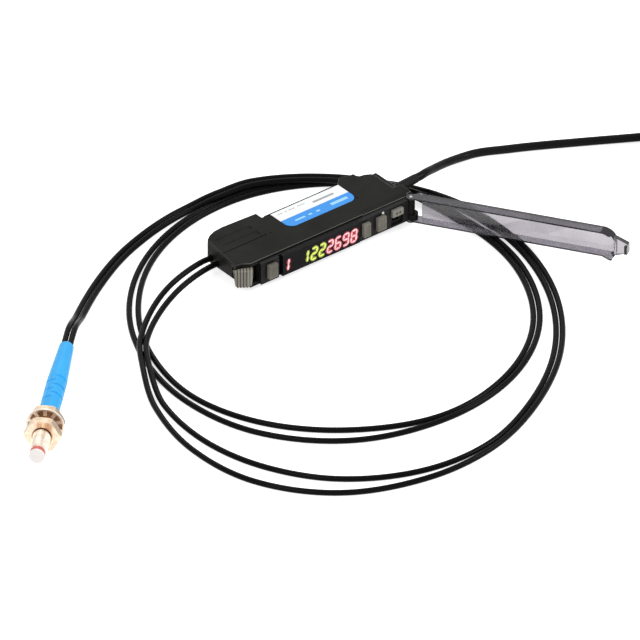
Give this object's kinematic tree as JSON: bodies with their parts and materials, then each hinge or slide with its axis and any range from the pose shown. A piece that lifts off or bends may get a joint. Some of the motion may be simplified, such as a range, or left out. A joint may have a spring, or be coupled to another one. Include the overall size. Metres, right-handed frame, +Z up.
{
  "type": "fibre optic sensor",
  "caption": "Slim rail-mount fibre amplifier with digit display and open clear cover, two fibres to a threaded head, and a signal cable.",
  "frame": {"origin": "middle of the rail seat, at mid thickness of the housing", "axes": "+X along the housing from the fibre end to the cable end, +Y out of the rail seat, towards the rail, +Z up out of the label side as it lies"},
  "size_m": [0.3446, 0.1954, 0.0141],
  "materials": {
    "case_black": "moulded ABS, fine spark texture, near black",
    "cover_black": "moulded ABS, fine spark texture, near black",
    "label_film": "printed polyester label, white over a blue band",
    "bezel_black": "moulded polycarbonate, semi gloss black",
    "window_smoke": "polished smoked acrylic",
    "digit_block": "seven segment digit block",
    "circuit_green": "glass epoxy circuit board",
    "switch_black": "moulded nylon",
    "button_grey": "elastomer coated keycaps, warm grey",
    "knob_grey": "moulded acetal, light warm grey",
    "light_pipe": "clear acrylic light pipe",
    "cover_clear": "clear smoke polycarbonate, polished",
    "steel_pin": "ground stainless steel",
    "lever_grey": "moulded acetal, warm grey",
    "clamp_steel": "stamped stainless steel",
    "led_clear": "epoxy lens",
    "diode_dark": "dark epoxy lens",
    "jacket_black": "extruded polyethylene jacket, soft sheen",
    "cable_black": "extruded PVC jacket",
    "boot_black": "moulded PVC boot",
    "wire_brown": "PVC insulation, brown",
    "wire_black": "PVC insulation, black",
    "wire_blue": "PVC insulation, blue",
    "copper": "bare stranded copper",
    "sleeve_blue": "moulded PVC bend sleeve, blue",
    "nickel": "nickel plated brass, bright",
    "barrel_brass": "nickel plated brass, worn warm",
    "ring_red": "red marker ring",
    "tip_pale": "polished resin sensing face"
  },
  "bodies": {
    "housing": {"case_shell": "case_black", "side_cover": "cover_black", "side_label": "label_film", "front_bezel": "bezel_black", "display_window": "window_smoke", "digit_display": "digit_block", "display_board": "circuit_green", "main_board": "circuit_green", "tact_switches": "switch_black", "indicator_led": "light_pipe", "hinge_pin": "steel_pin", "lever_pin": "steel_pin", "port_block": "case_black", "fibre_clamp": "clamp_steel", "emitter_led": "led_clear", "receiver_diode": "diode_dark", "end_cap": "cover_black", "cable_boot": "boot_black", "power_cable": "cable_black", "cable_coil": "cable_black", "coil_tie": "boot_black", "cable_tail": "cable_black", "wire_brown": "wire_brown", "wire_black": "wire_black", "wire_blue": "wire_blue", "wire_tips": "copper", "fibre_a": "jacket_black", "fibre_b": "jacket_black", "head_sleeve": "sleeve_blue", "head_barrel": "barrel_brass", "rear_nut": "nickel", "lock_washer": "nickel", "front_nut": "nickel", "marker_ring": "ring_red", "fibre_tip": "tip_pale"},
    "dust_cover": {"dust_cover": "cover_clear"},
    "lock_lever": {"lock_lever": "lever_grey"},
    "set_button": {"set_button": "button_grey"},
    "mode_button": {"mode_button": "button_grey"},
    "adjust_button": {"adjust_button": "button_grey"},
    "slide_switch": {"slide_switch": "knob_grey"}
  },
  "joints": [
    {"name": "cover_hinge", "type": "hinge", "parent": "housing", "child": "dust_cover", "pos_m": [0.0332, -0.0232, 0], "axis": [0, 0, 1], "range_deg": [-123, 0]},
    {"name": "lever_pivot", "type": "hinge", "parent": "housing", "child": "lock_lever", "pos_m": [-0.0399, -0.0203, 0], "axis": [0, 0, 1], "range_deg": [0, 65]},
    {"name": "set_button_press", "type": "slide", "parent": "housing", "child": "set_button", "axis": [0, 1, 0], "range_m": [0, 0.0004], "stiffness_N_per_m": 500, "springref_m": -0.0008},
    {"name": "mode_button_press", "type": "slide", "parent": "housing", "child": "mode_button", "axis": [0, 1, 0], "range_m": [0, 0.0004], "stiffness_N_per_m": 500, "springref_m": -0.0008},
    {"name": "adjust_button_press", "type": "slide", "parent": "housing", "child": "adjust_button", "axis": [0, 1, 0], "range_m": [0, 0.0004], "stiffness_N_per_m": 500, "springref_m": -0.0008},
    {"name": "switch_slide", "type": "slide", "parent": "housing", "child": "slide_switch", "axis": [0, 0, -1], "range_m": [0, 0.0026]}
  ]
}
